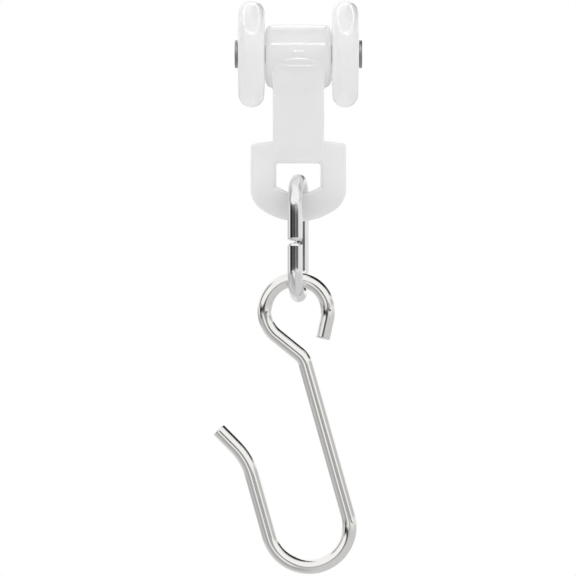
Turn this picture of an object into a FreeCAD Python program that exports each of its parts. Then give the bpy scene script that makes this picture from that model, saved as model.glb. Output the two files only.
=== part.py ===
import FreeCAD, Part
import math
import os

# Curtain glider. Two nylon wheels roll on the lips of a curtain track, a moulded nylon body
# hangs between them, a steel link hangs in the eye of the body, and a bent wire hook hangs
# in the link and carries the curtain.
# Millimetres. X runs along the axle, Y along the track, Z up.
# The origin is on the plane the wheels roll on, midway between the two wheels.

# Wheels
wheel_diameter = 15.0
wheel_width = 3.8
wheel_side_crown = 0.06  # how far each hub face stands out beyond the rim's flank
wheel_hub_diameter = 5.4
wheel_bore_clearance = 0.05  # on the radius, free running on the axle
wheel_side_play = 0.06  # at each face of each wheel

# Axle rivet
axle_diameter = 2.4
axle_head_diameter = 3.95
axle_head_thickness = 0.4
axle_head_round = 0.18

# Body: the barrel that holds the axle
barrel_diameter = 8.85
barrel_length = 9.24
barrel_end_round = 1.0
barrel_drop = 0.3  # the barrel's centre lies this far below the axle

# Body: the stem that passes through the slot of the track
stem_width = 7.16
stem_edge_round = 0.4
stem_setback = 0.05  # how far inside the barrel's skin the stem's faces start
stem_root_round = 0.4  # where the stem leaves the barrel

# Body: the D-shaped eye, crowned on its front and back faces
eye_depth = 4.6  # from the rolling plane down to the top of the shoulders
eye_width = 13.4
eye_height = 11.4
eye_shoulder_fall = 0.53  # from the middle of the top edge out to its corners
eye_bottom_rise = 3.07  # from the middle of the bottom edge out to its corners
eye_shoulder_round = 0.75
eye_cheek_round = 3.5
eye_thickness = 5.2
eye_crown_radius = 24.0
eye_crown_depth = 1.9  # the thickest point lies this far below the top of the eye
eye_edge_round = 0.5

# Body: the window in the eye, with a V-shaped seat for the link
window_width = 6.2
window_depth = 3.2  # from the top of the eye down to the top of the window
window_side_height = 3.3
window_seat_angle = 27.5
window_seat_round = 4.5
window_corner_round = 0.35
window_edge_round = 0.45

# Link: one wire bent to a long oval, with its two ends butted at a seam
link_wire = 2.1
link_length = 18.0
link_side_clearance = 0.45  # between the link and each face of the eye at the seat
link_seam_gap = 0.25
link_seam_drop = 0.55  # from the middle of the strand down to the seam
link_end_round = 0.4
link_turn = -8.0  # degrees about Z, as the link hangs

# Hook: one wire bent step by step
hook_wire = 2.0
hook_tail = 3.0
hook_eye_radius = 4.45  # this and the other bends are to the middle of the wire
hook_eye_bend = 243.3
hook_neck = 4.1
hook_shoulder_radius = 2.8
hook_shoulder_bend = 35.3
hook_shank = 22.0
hook_bight_radius = 5.74
hook_arm = 9.0
hook_flare_radius = 9.3
hook_flare_bend = 29.0
hook_tip = 3.4
hook_lean = 15.7  # degrees that the shank leans from upright
hook_end_round = 0.2
hook_shift = -0.3  # along X, so that the hook's weight hangs straight below the link

# Gap left where one piece hangs on another
hang_clearance = 0.1

# Heights that follow from the sizes above
axle_height = wheel_diameter / 2
barrel_height = axle_height - barrel_drop
eye_top = -eye_depth
eye_bottom = eye_top - eye_height
window_top = eye_top - window_depth
window_side_end = window_top - window_side_height
crown_height = eye_top - eye_crown_depth

# The seat is the lowest point of the window, after its V is rounded
seat_slope = math.radians(window_seat_angle)
seat_point = window_side_end - window_width / 2 * math.tan(seat_slope)
seat_height = seat_point + window_seat_round * (1 / math.cos(seat_slope) - 1)

across = FreeCAD.Vector(1, 0, 0)
along = FreeCAD.Vector(0, 1, 0)
up = FreeCAD.Vector(0, 0, 1)


def point(x, y, z):
    return FreeCAD.Vector(x, y, z)


def face_of(*curves):
    """A flat face inside a closed run of lines and arcs."""
    return Part.Face(Part.Wire([curve.toShape() for curve in curves]))


def edges_where(shape, test):
    return [edge for edge in shape.Edges if test(edge)]


def runs_along(axis):
    """A test for straight edges that run along an axis."""
    def test(edge):
        straight = isinstance(edge.Curve, Part.Line)
        return straight and abs(edge.tangentAt(edge.FirstParameter).dot(axis)) > 0.999
    return test


def half_thickness(x, z):
    """Half the thickness of the crowned eye at a place on its outline."""
    from_crown = math.hypot(x, z - crown_height)
    sag = eye_crown_radius - math.sqrt(eye_crown_radius ** 2 - from_crown ** 2)
    return eye_thickness / 2 - sag


def make_wheel(side):
    """A disc with a full-round rim, faintly crowned flanks and a plain bore."""
    centre = side * (barrel_length / 2 + wheel_side_play + wheel_width / 2)
    half = wheel_width / 2
    rim_round = half - wheel_side_crown
    radius = wheel_diameter / 2
    rim_base = radius - rim_round
    hub = wheel_hub_diameter / 2
    bore = axle_diameter / 2 + wheel_bore_clearance

    def at(x, out):
        return point(centre + x, 0, axle_height + out)

    profile = face_of(
        Part.LineSegment(at(-half, bore), at(-half, hub)),
        Part.LineSegment(at(-half, hub), at(-rim_round, rim_base)),
        Part.Arc(at(-rim_round, rim_base), at(0, radius), at(rim_round, rim_base)),
        Part.LineSegment(at(rim_round, rim_base), at(half, hub)),
        Part.LineSegment(at(half, hub), at(half, bore)),
        Part.LineSegment(at(half, bore), at(-half, bore)),
    )
    return profile.revolve(at(0, 0), across, 360)


def make_axle():
    """A pin with a flat head at each end, just outside the wheels."""
    reach = barrel_length / 2 + wheel_width + 2 * wheel_side_play
    pin = Part.makeCylinder(axle_diameter / 2, 2 * reach, point(-reach, 0, axle_height), across)
    for side in (-1, 1):
        inner_face = point(side * reach, 0, axle_height)
        head = Part.makeCylinder(axle_head_diameter / 2, axle_head_thickness, inner_face, across * side)
        outer_rim = edges_where(
            head,
            lambda edge: isinstance(edge.Curve, Part.Circle)
            and abs(edge.CenterOfMass.x) > reach + axle_head_thickness / 2,
        )
        pin = pin.fuse(head.makeFillet(axle_head_round, outer_rim))
    return pin.removeSplitter()


def make_barrel():
    start = point(-barrel_length / 2, 0, barrel_height)
    barrel = Part.makeCylinder(barrel_diameter / 2, barrel_length, start, across)
    rims = edges_where(barrel, lambda edge: isinstance(edge.Curve, Part.Circle))
    return barrel.makeFillet(barrel_end_round, rims)


def make_stem():
    """A wedge that leaves the barrel's skin nearly tangent and narrows down into the eye's crown."""
    foot = window_top + 1.5 * window_edge_round
    foot_half = half_thickness(stem_width / 2, foot)
    foot_drop = barrel_height - foot
    root_radius = barrel_diameter / 2 - stem_setback
    root_angle = math.acos(root_radius / math.hypot(foot_half, foot_drop))
    root_angle += math.atan2(foot_half, foot_drop)
    head = barrel_height - root_radius * math.cos(root_angle)
    head_half = root_radius * math.sin(root_angle)
    side = -stem_width / 2
    corners = [
        point(side, -head_half, head),
        point(side, head_half, head),
        point(side, foot_half, foot),
        point(side, -foot_half, foot),
    ]
    stem = Part.Face(Part.makePolygon(corners + corners[:1])).extrude(across * stem_width)
    long_edges = edges_where(stem, lambda edge: abs(edge.tangentAt(edge.FirstParameter).z) > 0.5)
    return stem.makeFillet(stem_edge_round, long_edges)


def make_window():
    """The window as a cutter: square at the top, a rounded V at the bottom."""
    half = window_width / 2
    corners = [
        point(-half, -eye_thickness, window_top),
        point(half, -eye_thickness, window_top),
        point(half, -eye_thickness, window_side_end),
        point(0, -eye_thickness, seat_point),
        point(-half, -eye_thickness, window_side_end),
    ]
    cutter = Part.Face(Part.makePolygon(corners + corners[:1])).extrude(along * 2 * eye_thickness)
    through = edges_where(cutter, runs_along(along))
    seat = [edge for edge in through if abs(edge.CenterOfMass.x) < half / 2]
    cutter = cutter.makeFillet(window_seat_round, seat)
    through = edges_where(cutter, runs_along(along))
    top = [edge for edge in through if abs(edge.CenterOfMass.z - window_top) < 0.01]
    return cutter.makeFillet(window_corner_round, top)


def make_eye():
    """The D-shaped eye, crowned front and back, with its window cut and all edges rounded."""
    half = eye_width / 2
    shoulder = eye_top - eye_shoulder_fall
    cheek = eye_bottom + eye_bottom_rise

    def at(x, z):
        return point(x, -eye_thickness, z)

    outline = face_of(
        Part.Arc(at(-half, shoulder), at(0, eye_top), at(half, shoulder)),
        Part.LineSegment(at(half, shoulder), at(half, cheek)),
        Part.Arc(at(half, cheek), at(0, eye_bottom), at(-half, cheek)),
        Part.LineSegment(at(-half, cheek), at(-half, shoulder)),
    )
    eye = outline.extrude(along * 2 * eye_thickness)
    corners = edges_where(eye, runs_along(along))
    cheeks = [edge for edge in corners if edge.CenterOfMass.z < crown_height]
    eye = eye.makeFillet(eye_cheek_round, cheeks)
    corners = edges_where(eye, runs_along(along))
    shoulders = [edge for edge in corners if edge.CenterOfMass.z > crown_height]
    eye = eye.makeFillet(eye_shoulder_round, shoulders)

    for side in (-1, 1):
        crown_centre = point(0, side * (eye_crown_radius - eye_thickness / 2), crown_height)
        eye = eye.common(Part.makeSphere(eye_crown_radius, crown_centre))

    def on_a_crown(edge):
        middle = edge.valueAt((edge.FirstParameter + edge.LastParameter) / 2)
        return abs(abs(middle.y) - half_thickness(middle.x, middle.z)) < 0.001

    def round_the_window(edge):
        box = edge.BoundBox
        narrow = max(box.XMax, -box.XMin) < window_width / 2 + 0.01
        return narrow and on_a_crown(edge) and box.ZMax < window_top + 0.01

    eye = eye.makeFillet(eye_edge_round, edges_where(eye, on_a_crown))
    eye = eye.cut(make_window())
    return eye.makeFillet(window_edge_round, edges_where(eye, round_the_window))


def make_body():
    """Barrel, stem and eye as one moulding, with the axle's hole through the barrel."""
    barrel = make_barrel()
    stem = make_stem()

    def at_the_root(edge):
        span = edge.LastParameter - edge.FirstParameter
        spots = [Part.Vertex(edge.valueAt(edge.FirstParameter + span * share)) for share in (0.1, 0.5, 0.9)]
        skins = (barrel.Shells[0], stem.Shells[0])
        return all(skin.distToShape(spot)[0] < 0.001 for skin in skins for spot in spots)

    body = barrel.fuse([stem, make_eye()]).removeSplitter()
    body = body.makeFillet(stem_root_round, edges_where(body, at_the_root))
    start = point(-barrel_length, 0, axle_height)
    hole = Part.makeCylinder(axle_diameter / 2, 2 * barrel_length, start, across)
    return body.cut(hole).removeSplitter()


def bend_wire(diameter, start, heading, steps, end_round, place):
    """A round wire bent in one plane: each step feeds a length, then bends to a radius by an angle.

    The heading and the angles are in degrees, with left turns positive. The place turns a pair
    of coordinates in the plane of the wire into a point in space.
    """
    side, height = start
    angle = math.radians(heading)
    path = []
    for length, radius, bend in steps:
        corner = (side + length * math.cos(angle), height + length * math.sin(angle))
        path.append(Part.LineSegment(place(side, height), place(*corner)).toShape())
        side, height = corner
        if not bend:
            continue
        lever = math.copysign(radius, bend)
        middle_side = side - lever * math.sin(angle)
        middle_height = height + lever * math.cos(angle)
        turns = [angle + math.radians(bend) * share for share in (0, 0.5, 1)]
        bent = [(middle_side + lever * math.sin(t), middle_height - lever * math.cos(t)) for t in turns]
        path.append(Part.Arc(*[place(*pair) for pair in bent]).toShape())
        side, height = bent[-1]
        angle = turns[-1]

    first = place(*start)
    last = place(side, height)
    section = Part.makeCircle(diameter / 2, first, path[0].tangentAt(path[0].FirstParameter))
    wire = Part.Wire(path).makePipeShell([Part.Wire(section)], True, True)

    def at_an_end(edge):
        middle = edge.CenterOfMass
        return min(middle.distanceToPoint(first), middle.distanceToPoint(last)) < 0.01

    return wire.makeFillet(end_round, edges_where(wire, at_an_end))


# Where the link hangs: its upper bend rests on the two rounded edges of the seat. The middle of
# each of these roundings lies inside the crown and below the seat by the radius of the rounding.
seat_edge_height = seat_height - window_edge_round
seat_edge_drop = crown_height - seat_edge_height
seat_edge_out = math.sqrt((eye_crown_radius - window_edge_round) ** 2 - seat_edge_drop ** 2)
seat_edge_out -= eye_crown_radius - eye_thickness / 2
link_inside = half_thickness(0, seat_height) + link_side_clearance
link_bend = link_inside + link_wire / 2
seat_reach = link_inside - window_edge_round - hang_clearance
link_bend_height = seat_edge_height - math.sqrt(seat_reach ** 2 - seat_edge_out ** 2)
link_straight = link_length - 2 * (link_bend + link_wire / 2)
link_foot_height = link_bend_height - link_straight - link_bend


def make_link():
    """An oval of wire that stands in the plane of the track, with its seam in front."""
    above_seam = (link_straight - link_seam_gap) / 2 + link_seam_drop
    below_seam = link_straight - link_seam_gap - above_seam
    start = (-link_bend, link_bend_height - above_seam)
    steps = [(above_seam, link_bend, -180), (link_straight, link_bend, -180), (below_seam, 0, 0)]
    link = bend_wire(link_wire, start, 90, steps, link_end_round, lambda y, z: point(0, y, z))
    link.rotate(point(0, 0, 0), up, link_turn)
    return link


def make_hook():
    """A wire with a round eye on the link, a leaning shank, a U bend and a flared tip."""
    eye_top_middle = link_foot_height + link_wire / 2 + hang_clearance + hook_wire / 2
    eye_middle = eye_top_middle - hook_eye_radius
    heading = hook_lean - 90 + hook_shoulder_bend - hook_eye_bend
    angle = math.radians(heading)
    start = (
        hook_shift + hook_eye_radius * math.sin(angle) - hook_tail * math.cos(angle),
        eye_middle - hook_eye_radius * math.cos(angle) - hook_tail * math.sin(angle),
    )
    steps = [
        (hook_tail, hook_eye_radius, hook_eye_bend),
        (hook_neck, hook_shoulder_radius, -hook_shoulder_bend),
        (hook_shank, hook_bight_radius, -180),
        (hook_arm, hook_flare_radius, hook_flare_bend),
        (hook_tip, 0, 0),
    ]
    return bend_wire(hook_wire, start, heading, steps, hook_end_round, lambda x, z: point(x, 0, z))


pieces = {
    "body": make_body(),
    "axle": make_axle(),
    "wheel_left": make_wheel(-1),
    "wheel_right": make_wheel(1),
    "link": make_link(),
    "hook": make_hook(),
}

os.makedirs("parts", exist_ok=True)
for node, shape in pieces.items():
    shape.Solids[0].exportStep("parts/" + node + ".step")
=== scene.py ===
import bpy
import math
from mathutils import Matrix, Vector


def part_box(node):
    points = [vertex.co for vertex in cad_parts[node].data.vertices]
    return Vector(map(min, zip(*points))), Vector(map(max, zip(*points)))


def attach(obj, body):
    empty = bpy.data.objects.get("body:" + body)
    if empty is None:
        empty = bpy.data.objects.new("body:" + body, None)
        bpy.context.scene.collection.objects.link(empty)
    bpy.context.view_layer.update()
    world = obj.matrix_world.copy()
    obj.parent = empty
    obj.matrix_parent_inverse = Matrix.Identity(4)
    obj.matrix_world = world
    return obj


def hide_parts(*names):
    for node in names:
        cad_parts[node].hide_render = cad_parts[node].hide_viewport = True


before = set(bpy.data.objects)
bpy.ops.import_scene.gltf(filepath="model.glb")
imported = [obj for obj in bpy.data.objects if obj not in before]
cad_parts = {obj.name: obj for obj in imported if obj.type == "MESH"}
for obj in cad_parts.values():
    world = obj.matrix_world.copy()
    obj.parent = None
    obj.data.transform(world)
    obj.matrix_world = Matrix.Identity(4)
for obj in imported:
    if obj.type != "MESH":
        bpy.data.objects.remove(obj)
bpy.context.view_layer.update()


# Body: barrel, stem and D-shaped eye, moulded in one piece of white nylon.
# The skin is glossy and milky, with painted light in the barrel and painted shade in the stem,
# greyest in the thin bar of the eye. It has sunk in shallow ripples at the front, where the thick
# stem joins the barrel.
class Socket:
    """An output of a node in a finish. Sums and products of these add Math nodes."""

    def __init__(self, tree, output=None):
        self.tree = tree
        self.output = output

    def node(self, kind, settings, sockets, output=0):
        made = self.tree.nodes.new("ShaderNode" + kind)
        for name, value in settings.items():
            setattr(made, name, value)
        for name, value in sockets.items():
            if isinstance(value, Socket):
                self.tree.links.new(value.output, made.inputs[name])
            else:
                made.inputs[name].default_value = value
        return Socket(self.tree, made.outputs[output] if made.outputs else None)

    def maths(self, operation, first, second):
        return self.node("Math", {"operation": operation}, {0: first, 1: second})

    def __add__(self, other):
        return self.maths("ADD", self, other)

    def __radd__(self, other):
        return self.maths("ADD", other, self)

    def __sub__(self, other):
        return self.maths("SUBTRACT", self, other)

    def __rsub__(self, other):
        return self.maths("SUBTRACT", other, self)

    def __mul__(self, other):
        return self.maths("MULTIPLY", self, other)

    def __rmul__(self, other):
        return self.maths("MULTIPLY", other, self)


def fade(value, low, high, curve="SMOOTHSTEP"):
    """0 up to low, 1 from high on, and smooth or straight between them."""
    return value.node(
        "MapRange",
        {"interpolation_type": curve},
        {"Value": value, "From Min": low, "From Max": high},
    )


def new_finish(name):
    finish = bpy.data.materials.new(name)
    finish.use_nodes = True
    finish.node_tree.nodes.clear()
    return finish, Socket(finish.node_tree)


def nylon_skin(nodes, place, tone, shade, relief):
    """Glossy, milky nylon, a little cloudy, with a fine ripple from the mould on its relief. Its
    colour is the tone times shade, where the body paints light and shade.
    """
    cloud = nodes.node("TexNoise", {}, {"Vector": place, "Scale": 300.0, "Detail": 2.0}, "Fac")
    ripple = nodes.node("TexNoise", {}, {"Vector": place, "Scale": 900.0, "Detail": 2.0}, "Fac")
    colour = nodes.node(
        "VectorMath", {"operation": "SCALE"}, {0: tone, "Scale": shade * (1.01 - cloud * 0.02)}
    )
    skin = nodes.node("Bump", {}, {"Distance": 1.0, "Height": relief + ripple * 0.0000012})
    shader = nodes.node(
        "BsdfPrincipled",
        {},
        {
            "Base Color": colour,
            "Roughness": 0.1 + cloud * 0.06,
            "Normal": skin,
            "IOR": 1.53,
            "Subsurface Weight": 1.0,
            "Subsurface Radius": (1.0, 0.97, 0.94),
            "Subsurface Scale": 0.004,
        },
    )
    nodes.node("OutputMaterial", {}, {"Surface": shader})


body_nylon, nodes = new_finish("white moulded nylon")
place = nodes.node("TexCoord", {}, {}, "Object")
across, along, height = [nodes.node("SeparateXYZ", {}, {0: place}, axis) for axis in "XYZ"]
# Painted light and shade: the colour is full in the thick barrel, painted darker in the stem and
# darkest in the bar of the eye.
barrel_painted_light = fade(height, 0.002, 0.006)
eye_bar_painted_shade = fade(height * -1, 0.0095, 0.0145)
shade = 0.9 + 0.1 * barrel_painted_light - 0.1 * eye_bar_painted_shade
# Each ripple is a ledge at some height, bowed up or down, with a half-width and a depth.
ledge_edge = 0.0002
ledge_foot = 0.0011
relief = 0
for level, bow, reach, depth in (
    (0.00782, 0, 0.0009, 0.000048),
    (0.00675, -50, 0.0026, 0.000103),
    (0.00576, 15, 0.0029, 0.00012),
):
    drop = level + bow * (across * across) - height
    ledge = fade(drop, 0, ledge_edge, "LINEAR") * (1 - fade(drop, ledge_edge, ledge_foot))
    span = 1 - fade(across * across, (0.6 * reach) ** 2, reach**2)
    relief = relief + depth * ledge * span * fade(along * -1, 0.002, 0.003)
nylon_skin(nodes, place, (0.985, 0.985, 0.988), shade, relief)
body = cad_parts["body"]
body.data.materials.clear()
body.data.materials.append(body_nylon)


# Axle: a grey steel rivet, pressed through the barrel and headed over at both ends.
# Only its two flat heads show, just outside the wheels, with painted light making them brighter
# towards the top.
axle_steel, nodes = new_finish("grey rivet steel")
place = nodes.node("TexCoord", {}, {}, "Object")
grain = nodes.node("TexNoise", {}, {"Vector": place, "Scale": 2600.0, "Detail": 3.0}, "Fac")
# Painted light: the heads' colour turns lighter towards the top.
painted_top_light = fade(nodes.node("SeparateXYZ", {}, {0: place}, "Z"), 0.0065, 0.0095)
colour = nodes.node(
    "Mix",
    {"data_type": "RGBA"},
    {"Factor": grain * 0.7 + painted_top_light * 0.4, 6: (0.26, 0.26, 0.265, 1.0), 7: (0.56, 0.56, 0.57, 1.0)},
    2,
)
skin = nodes.node("Bump", {}, {"Distance": 1.0, "Height": grain * 0.000002})
shader = nodes.node(
    "BsdfPrincipled",
    {},
    {"Base Color": colour, "Metallic": 1.0, "Roughness": 0.25 + grain * 0.15, "Normal": skin},
)
nodes.node("OutputMaterial", {}, {"Surface": shader})
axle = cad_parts["axle"]
axle.data.materials.clear()
axle.data.materials.append(axle_steel)


# Wheels: two plain discs of the same nylon with a full-round rim, free on the axle.
# One is turned from its section, and the other is a copy of it.
wheel_nylon, nodes = new_finish("white wheel nylon")
place = nodes.node("TexCoord", {}, {}, "Object")
nylon_skin(nodes, place, (0.96, 0.96, 0.962), 1.0, 0.0)

wheel_rim_round = 0.00184
wheel_hub_radius = 0.0027
wheel_bore_radius = 0.00125
low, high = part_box("wheel_left")
middle = (low + high) / 2
half_width = (high.x - low.x) / 2
rim_base = high.z - wheel_rim_round


def named(name):
    """The object just made, under its own name and with its place applied to its mesh."""
    bpy.ops.object.transform_apply(location=True, rotation=True, scale=True)
    piece = bpy.context.active_object
    piece.name = name
    piece.data.name = name
    return piece


def select_points(piece, test):
    """In edit mode, selects the points whose place passes a test."""
    bpy.ops.mesh.select_mode(type="VERT")
    bpy.ops.mesh.select_all(action="DESELECT")
    bpy.ops.object.mode_set(mode="OBJECT")
    for point in piece.data.vertices:
        point.select = test(point.co)
    bpy.ops.object.mode_set(mode="EDIT")


bpy.ops.object.select_all(action="DESELECT")
bpy.ops.mesh.primitive_circle_add(
    vertices=56,
    radius=wheel_rim_round,
    location=(middle.x, 0, rim_base),
    rotation=(math.pi / 2, 0, 0),
)
wheel_left = named("rolling_wheel_left")
bpy.ops.object.mode_set(mode="EDIT")
select_points(wheel_left, lambda at: at.z < rim_base - 1e-6)
bpy.ops.mesh.delete(type="VERT")
for way in (-1, 1):
    select_points(wheel_left, lambda at: at.z < rim_base + 1e-6 and way * (at.x - middle.x) > 0)
    flank = (way * (half_width - wheel_rim_round), 0, middle.z + wheel_hub_radius - rim_base)
    bpy.ops.mesh.extrude_region_move(TRANSFORM_OT_translate={"value": flank})
    hub = (0, 0, wheel_bore_radius - wheel_hub_radius)
    bpy.ops.mesh.extrude_region_move(TRANSFORM_OT_translate={"value": hub})
select_points(wheel_left, lambda at: at.z < middle.z + wheel_bore_radius + 1e-6)
bpy.ops.mesh.edge_face_add()
bpy.ops.mesh.select_all(action="SELECT")
bpy.ops.mesh.spin(steps=144, angle=2 * math.pi, center=(middle.x, 0, middle.z), axis=(1, 0, 0))
bpy.ops.mesh.select_all(action="SELECT")
bpy.ops.mesh.remove_doubles(threshold=1e-6)
bpy.ops.mesh.normals_make_consistent(inside=False)
bpy.ops.object.mode_set(mode="OBJECT")
bpy.ops.object.shade_smooth_by_angle(angle=math.radians(35))
wheel_left.data.materials.append(wheel_nylon)

bpy.ops.object.duplicate()
bpy.ops.transform.translate(value=(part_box("wheel_right")[0].x - low.x, 0, 0))
wheel_right = named("rolling_wheel_right")
for piece, node in ((wheel_left, "wheel_left"), (wheel_right, "wheel_right")):
    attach(piece, node)
    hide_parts(node)


# Link: one bright-plated steel wire, bent to a long oval and butted at a seam on the
# front strand. It hangs in the eye of the body, turned a little from square.
def plated_wire(name, tint, dull_span=None):
    """Bright plating of a slight tint, which may turn dull between two heights."""
    finish, nodes = new_finish(name)
    place = nodes.node("TexCoord", {}, {}, "Object")
    dull = 0
    if dull_span:
        dull = fade(nodes.node("SeparateXYZ", {}, {0: place}, "Z"), *dull_span)
    haze = nodes.node("TexNoise", {}, {"Vector": place, "Scale": 420.0, "Detail": 3.0}, "Fac")
    draw = nodes.node("TexNoise", {}, {"Vector": place, "Scale": 1400.0, "Detail": 2.0}, "Fac")
    shade = 0.9 + haze * 0.04 + dull * 0.01
    colour = nodes.node("VectorMath", {"operation": "SCALE"}, {0: tint, "Scale": shade})
    rough = 0.04 + haze * 0.04 + dull * 0.26
    skin = nodes.node("Bump", {}, {"Distance": 1.0, "Height": draw * 0.0000002})
    shader = nodes.node(
        "BsdfPrincipled",
        {},
        {"Base Color": colour, "Metallic": 1.0, "Roughness": rough, "Normal": skin},
    )
    nodes.node("OutputMaterial", {}, {"Surface": shader})
    return finish


def bend_wire(name, radius, start, heading, steps, sideways, end_round):
    """A wire fed and bent in one upright plane, as on a bending machine.

    Each step feeds a length straight on, then bends to a radius by an angle in degrees,
    with left turns positive. A ring close to each end of a feed keeps the straight part
    straight in the light.
    """
    up = Vector((0, 0, 1))
    place = sideways * start[0] + up * start[1]
    angle = math.radians(heading)
    way = sideways * math.cos(angle) + up * math.sin(angle)

    bpy.ops.object.select_all(action="DESELECT")
    bpy.ops.mesh.primitive_circle_add(
        vertices=40,
        radius=radius,
        fill_type="NGON",
        location=place,
        rotation=way.to_track_quat("Z", "Y").to_euler(),
    )
    wire = named(name)
    bpy.ops.object.mode_set(mode="EDIT")
    bpy.ops.mesh.select_all(action="SELECT")
    close = 1.2 * end_round
    for length, bend_radius, bend in steps:
        for feed in (close, length - 2 * close, close):
            bpy.ops.mesh.extrude_region_move(TRANSFORM_OT_translate={"value": way * feed})
        place = place + way * length
        if not bend:
            continue
        left = sideways * -math.sin(angle) + up * math.cos(angle)
        middle = place + left * math.copysign(bend_radius, bend)
        bpy.ops.mesh.spin(
            steps=round(abs(bend) / 2),
            angle=math.radians(bend),
            center=middle,
            axis=up.cross(sideways),
        )
        angle += math.radians(bend)
        way = sideways * math.cos(angle) + up * math.sin(angle)
        left = sideways * -math.sin(angle) + up * math.cos(angle)
        place = middle - left * math.copysign(bend_radius, bend)
    bpy.ops.mesh.select_all(action="SELECT")
    bpy.ops.mesh.remove_doubles(threshold=1e-6)
    bpy.ops.mesh.normals_make_consistent(inside=False)
    bpy.ops.mesh.select_mode(type="FACE")
    bpy.ops.mesh.select_all(action="DESELECT")
    bpy.ops.mesh.select_face_by_sides(number=4, type="GREATER")
    bpy.ops.mesh.bevel(offset=end_round, segments=5, affect="EDGES")
    bpy.ops.object.mode_set(mode="OBJECT")
    bpy.ops.object.shade_smooth_by_angle(angle=math.radians(40))
    return wire


link_radius = 0.00105
link_bend_radius = 0.0034278
link_turn = math.radians(-8)
link_seam_gap = 0.00025
link_seam_drop = 0.00055
low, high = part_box("link")
link_straight = high.z - low.z - 2 * (link_bend_radius + link_radius)
above_seam = (link_straight - link_seam_gap) / 2 + link_seam_drop
link = bend_wire(
    "oval_wire_link",
    link_radius,
    (-link_bend_radius, (low.z + high.z + link_straight) / 2 - above_seam),
    90,
    [
        (above_seam, link_bend_radius, -180),
        (link_straight, link_bend_radius, -180),
        (link_straight - link_seam_gap - above_seam, 0, 0),
    ],
    Vector((-math.sin(link_turn), math.cos(link_turn), 0)),
    0.0004,
)
# The plating is duller over the upper bend, above the bar of the eye.
link_dull_span = (-0.0152, -0.0118)
link_plating = plated_wire("bright plated link wire", (1.05, 1.05, 1.05), link_dull_span)
link.data.materials.append(link_plating)
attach(link, "link")
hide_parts("link")


# Hook: one bright-plated steel wire with a round eye on the link, a leaning shank,
# a U bend for the curtain's eyelet and a flared tip. Its ends are cut square.
hook_radius = 0.001
hook_eye_radius = 0.00445
hook_tail = 0.003
hook_heading = 77.7
hook_shift = -0.0003
low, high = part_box("hook")
eye_middle = high.z - hook_radius - hook_eye_radius
tail_rise = math.sin(math.radians(hook_heading))
tail_run = math.cos(math.radians(hook_heading))
hook = bend_wire(
    "curtain_wire_hook",
    hook_radius,
    (
        hook_shift + hook_eye_radius * tail_rise - hook_tail * tail_run,
        eye_middle - hook_eye_radius * tail_run - hook_tail * tail_rise,
    ),
    hook_heading,
    [
        (hook_tail, hook_eye_radius, 243.3),
        (0.0041, 0.0028, -35.3),
        (0.022, 0.00574, -180),
        (0.009, 0.0093, 29),
        (0.0034, 0, 0),
    ],
    Vector((1, 0, 0)),
    0.0002,
)
hook.data.materials.append(plated_wire("bright plated hook wire", (1.0, 0.99, 0.966)))
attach(hook, "hook")
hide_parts("hook")


# Studio: the glider hangs over a plain pale floor in a white light tent, with a ring of
# light strips round the tent's top. What the plated wire mirrors is set for mirrored rays
# alone: white above, grey below, the camera and its slit in front, and dark cards.
floor_height = -0.09
floor_radius = 0.34
bpy.ops.object.select_all(action="DESELECT")
bpy.ops.mesh.primitive_circle_add(
    vertices=96, radius=floor_radius, fill_type="NGON", location=(0, 0, floor_height)
)
floor = named("studio_floor")
floor_finish, nodes = new_finish("pale studio floor")
seen = nodes.node("LightPath", {}, {}, "Is Camera Ray")
place = nodes.node("TexCoord", {}, {}, "Object")
across, along = [nodes.node("SeparateXYZ", {}, {0: place}, axis) for axis in "XY"]
out = fade(across * across + along * along, 0.1**2, 0.33**2)
matt = nodes.node("BsdfDiffuse", {}, {"Color": (0.9, 0.9, 0.9, 1.0)})
glow = nodes.node("Emission", {}, {"Color": (1.0, 1.0, 1.0, 1.0), "Strength": 1.1})
both = nodes.node("MixShader", {}, {0: seen * (0.6 + 0.4 * out), 1: matt, 2: glow})
nodes.node("OutputMaterial", {}, {"Surface": both})
floor_finish.cycles.emission_sampling = "NONE"
floor.data.materials.append(floor_finish)
floor.visible_glossy = False

world = bpy.data.worlds.new("white light tent")
bpy.context.scene.world = world
world.use_nodes = True
world.node_tree.nodes.clear()
nodes = Socket(world.node_tree)
seen = nodes.node("LightPath", {}, {}, "Is Camera Ray")
mirrored = nodes.node("LightPath", {}, {}, "Is Glossy Ray")
through = nodes.node("LightPath", {}, {}, "Is Transmission Ray")
way = nodes.node("TexCoord", {}, {}, "Generated")


def along_axis(axis):
    return nodes.node("VectorMath", {"operation": "DOT_PRODUCT"}, {0: way, 1: axis}, "Value")


# Where a mirrored ray goes, in degrees: clock is its turn from straight up, clockwise, swing its
# angle from the front, rise its height over the horizon and round_about its bearing.
right = along_axis((1, 0, 0))
front = along_axis((0, -1, 0))
up = along_axis((0, 0, 1))
degrees = 180 / math.pi
clock = nodes.maths("ARCTAN2", right, up) * degrees
swing = nodes.maths("ARCCOSINE", front, 0) * degrees
rise = nodes.maths("ARCSINE", up, 0) * degrees
round_about = nodes.maths("ARCTAN2", right, front) * degrees


def between(value, low, high, soft):
    """1 from low to high and 0 outside, with soft edges."""
    return fade(value, low - soft, low + soft) * (1 - fade(value, high - soft, high + soft))


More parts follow.
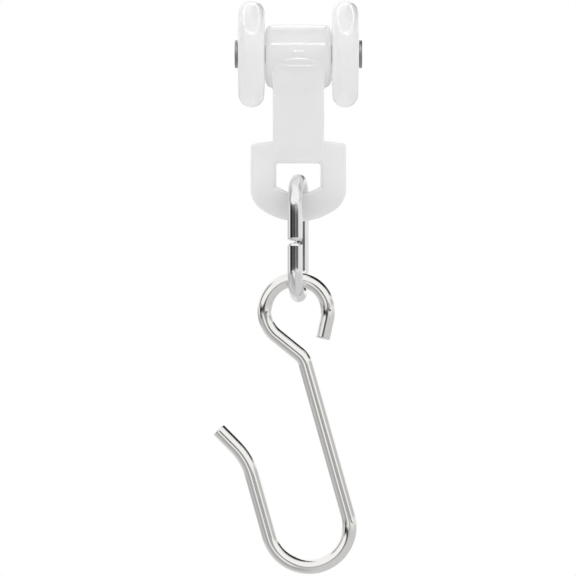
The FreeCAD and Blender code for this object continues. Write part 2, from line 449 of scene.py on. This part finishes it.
below = fade(nodes.maths("ABSOLUTE", clock, 0), 86, 104)
leftward = 1 - fade(right, -0.2, 0.2)
ground = 0.62 + leftward * (0.1 * fade(swing, 60, 100) + 0.2 * fade(swing, 95, 130) - 0.14)
tent = 0.96
tone = tent + (ground - tent) * below
gleam = (1 - fade(swing, 26, 38)) * between(clock, -165, -80, 8)
tone = tone + (0.9 - tone) * gleam
beside_camera = 1 - fade(swing, 9, 13)
overhead = fade(swing, 79, 87) * (1 - fade(swing - clock * 1.9, 108, 118))
for card, darker in (
    # A low strip on the ground at the left, and the camera with its stand.
    (between(swing, 40, 58, 6) * below * leftward, 0.18),
    (1 - fade(swing, 5, 9), 0.2),
    (between(clock, 30, 60, 8) * beside_camera, 0.85),
    (between(clock, -150, -120, 8) * beside_camera, 0.85),
    # The tent's slit, level with the camera, from the left side round to the right.
    (between(rise, -1.8, 5.0, 2.2) * between(round_about, -82, -3, 5), 0.92),
    (between(rise, -0.3, 1.7, 0.6) * between(round_about, -8, 8, 5), 0.92),
    (between(rise, -0.3, 1.6, 0.5) * between(round_about, 8, 53, 8), 0.92),
    (between(rise, 2.0, 7.0, 1.4) * between(round_about, 3, 42, 5), 0.6),
    # Cards at the left, overhead and at the upper right, which edge the wire with dark lines.
    (between(clock, -102, -80, 5) * between(swing, 52, 78, 6), 0.92),
    (between(clock, -84, -42, 6) * between(swing, 78, 108, 8), 0.72),
    (overhead * between(clock, -12, 51, 5), 0.97),
    (between(clock, 47, 66, 4) * between(swing, 88, 160, 8), 0.88),
    # Greyer cards at the right and at the lower left.
    (between(clock, 70, 82, 4) * between(swing, 60, 125, 8), 0.42),
    (between(clock, 84, 98, 4) * between(swing, 60, 125, 8), 0.18),
    (between(clock, -112, -84, 6) * fade(swing, 92, 104), 0.36),
):
    tone = tone * (1 - darker * card)
plain = nodes.node("Background", {}, {"Color": (1.0, 1.0, 1.0, 1.0), "Strength": 0.12})
mirror = nodes.node("Background", {}, {"Color": (1.0, 1.0, 1.0, 1.0), "Strength": tone})
white = nodes.node("Background", {}, {"Color": (1.0, 1.0, 1.0, 1.0), "Strength": 1.0})
unseen = nodes.node("MixShader", {}, {0: mirrored, 1: plain, 2: mirror})
sky = nodes.node("MixShader", {}, {0: nodes.maths("MAXIMUM", seen, through), 1: unseen, 2: white})
nodes.node("OutputWorld", {}, {"Surface": sky})


def soft_lamp(name, place, aim, size, radiance):
    """A rectangle of light, as bright to the eye as radiance times the white of the tent."""
    lamp = bpy.data.lights.new(name, "AREA")
    lamp.shape = "RECTANGLE"
    lamp.size, lamp.size_y = size
    lamp.energy = radiance * math.pi * size[0] * size[1]
    holder = bpy.data.objects.new(name, lamp)
    bpy.context.scene.collection.objects.link(holder)
    holder.location = place
    holder.rotation_euler = (Vector(aim) - Vector(place)).to_track_quat("-Z", "Y").to_euler()
    return holder


white_pieces = bpy.data.collections.new("white pieces")
for piece in (body, wheel_left, wheel_right):
    white_pieces.objects.link(piece)
steel_pieces = bpy.data.collections.new("steel pieces")
for piece in (axle, link, hook):
    steel_pieces.objects.link(piece)
strip_height = 0.4
strip_reach = 0.42
strip_size = (0.35, 0.06)
for name, turn, radiance in (
    ("front strip", 0, 6.0),
    ("front right strip", 45, 3.6),
    ("right strip", 90, 3.2),
    ("back right strip", 135, 2.6),
    ("back strip", 180, 2.2),
    ("back left strip", 225, 2.6),
    ("left strip", 270, 3.2),
    ("front left strip", 315, 3.6),
):
    angle = math.radians(turn)
    stand = (strip_reach * math.sin(angle), -strip_reach * math.cos(angle), strip_height)
    strip = soft_lamp(name, stand, (0, 0, 0), strip_size, radiance)
    strip.visible_diffuse = False
    strip.light_linking.receiver_collection = white_pieces

# The tent's walls light the nylon through and through: it is milky enough to let their
# light pass, so that only the steel casts a shadow in it. The floor throws light back up.
ground_pieces = bpy.data.collections.new("ground pieces")
ground_pieces.objects.link(floor)
for lit, name, turn, spread, share in (
    (white_pieces, "front wall", (90, 0, 0), 100, 0.335),
    (white_pieces, "back wall", (-90, 0, 0), 100, 0.3),
    (white_pieces, "left wall", (0, -90, 0), 100, 0.305),
    (white_pieces, "right wall", (0, 90, 0), 100, 0.305),
    (white_pieces, "tent roof", (0, 0, 0), 100, 0.57),
    (ground_pieces, "floor light", (0, 0, 0), 30, 0.8),
):
    wall_light = bpy.data.lights.new(name, "SUN")
    wall_light.angle = math.radians(spread)
    wall_light.energy = share * math.pi
    wall = bpy.data.objects.new(name, wall_light)
    bpy.context.scene.collection.objects.link(wall)
    wall.rotation_euler = [math.radians(angle) for angle in turn]
    wall.visible_glossy = False
    wall.light_linking.receiver_collection = lit
    if lit == white_pieces:
        wall.light_linking.blocker_collection = steel_pieces

camera_data = bpy.data.cameras.new("camera")
camera = bpy.data.objects.new("camera", camera_data)
bpy.context.scene.collection.objects.link(camera)
camera_data.sensor_width = 36.0
camera_data.sensor_fit = "HORIZONTAL"
camera_distance = 0.6
camera_field = 0.0809
camera_across = -0.00146
camera_height = -0.02535
camera_data.lens = camera_data.sensor_width * camera_distance / camera_field
camera.location = (camera_across, -camera_distance, camera_height)
camera.rotation_euler = (math.pi / 2, 0, 0)
bpy.context.scene.camera = camera
bpy.context.scene.view_settings.view_transform = "Standard"
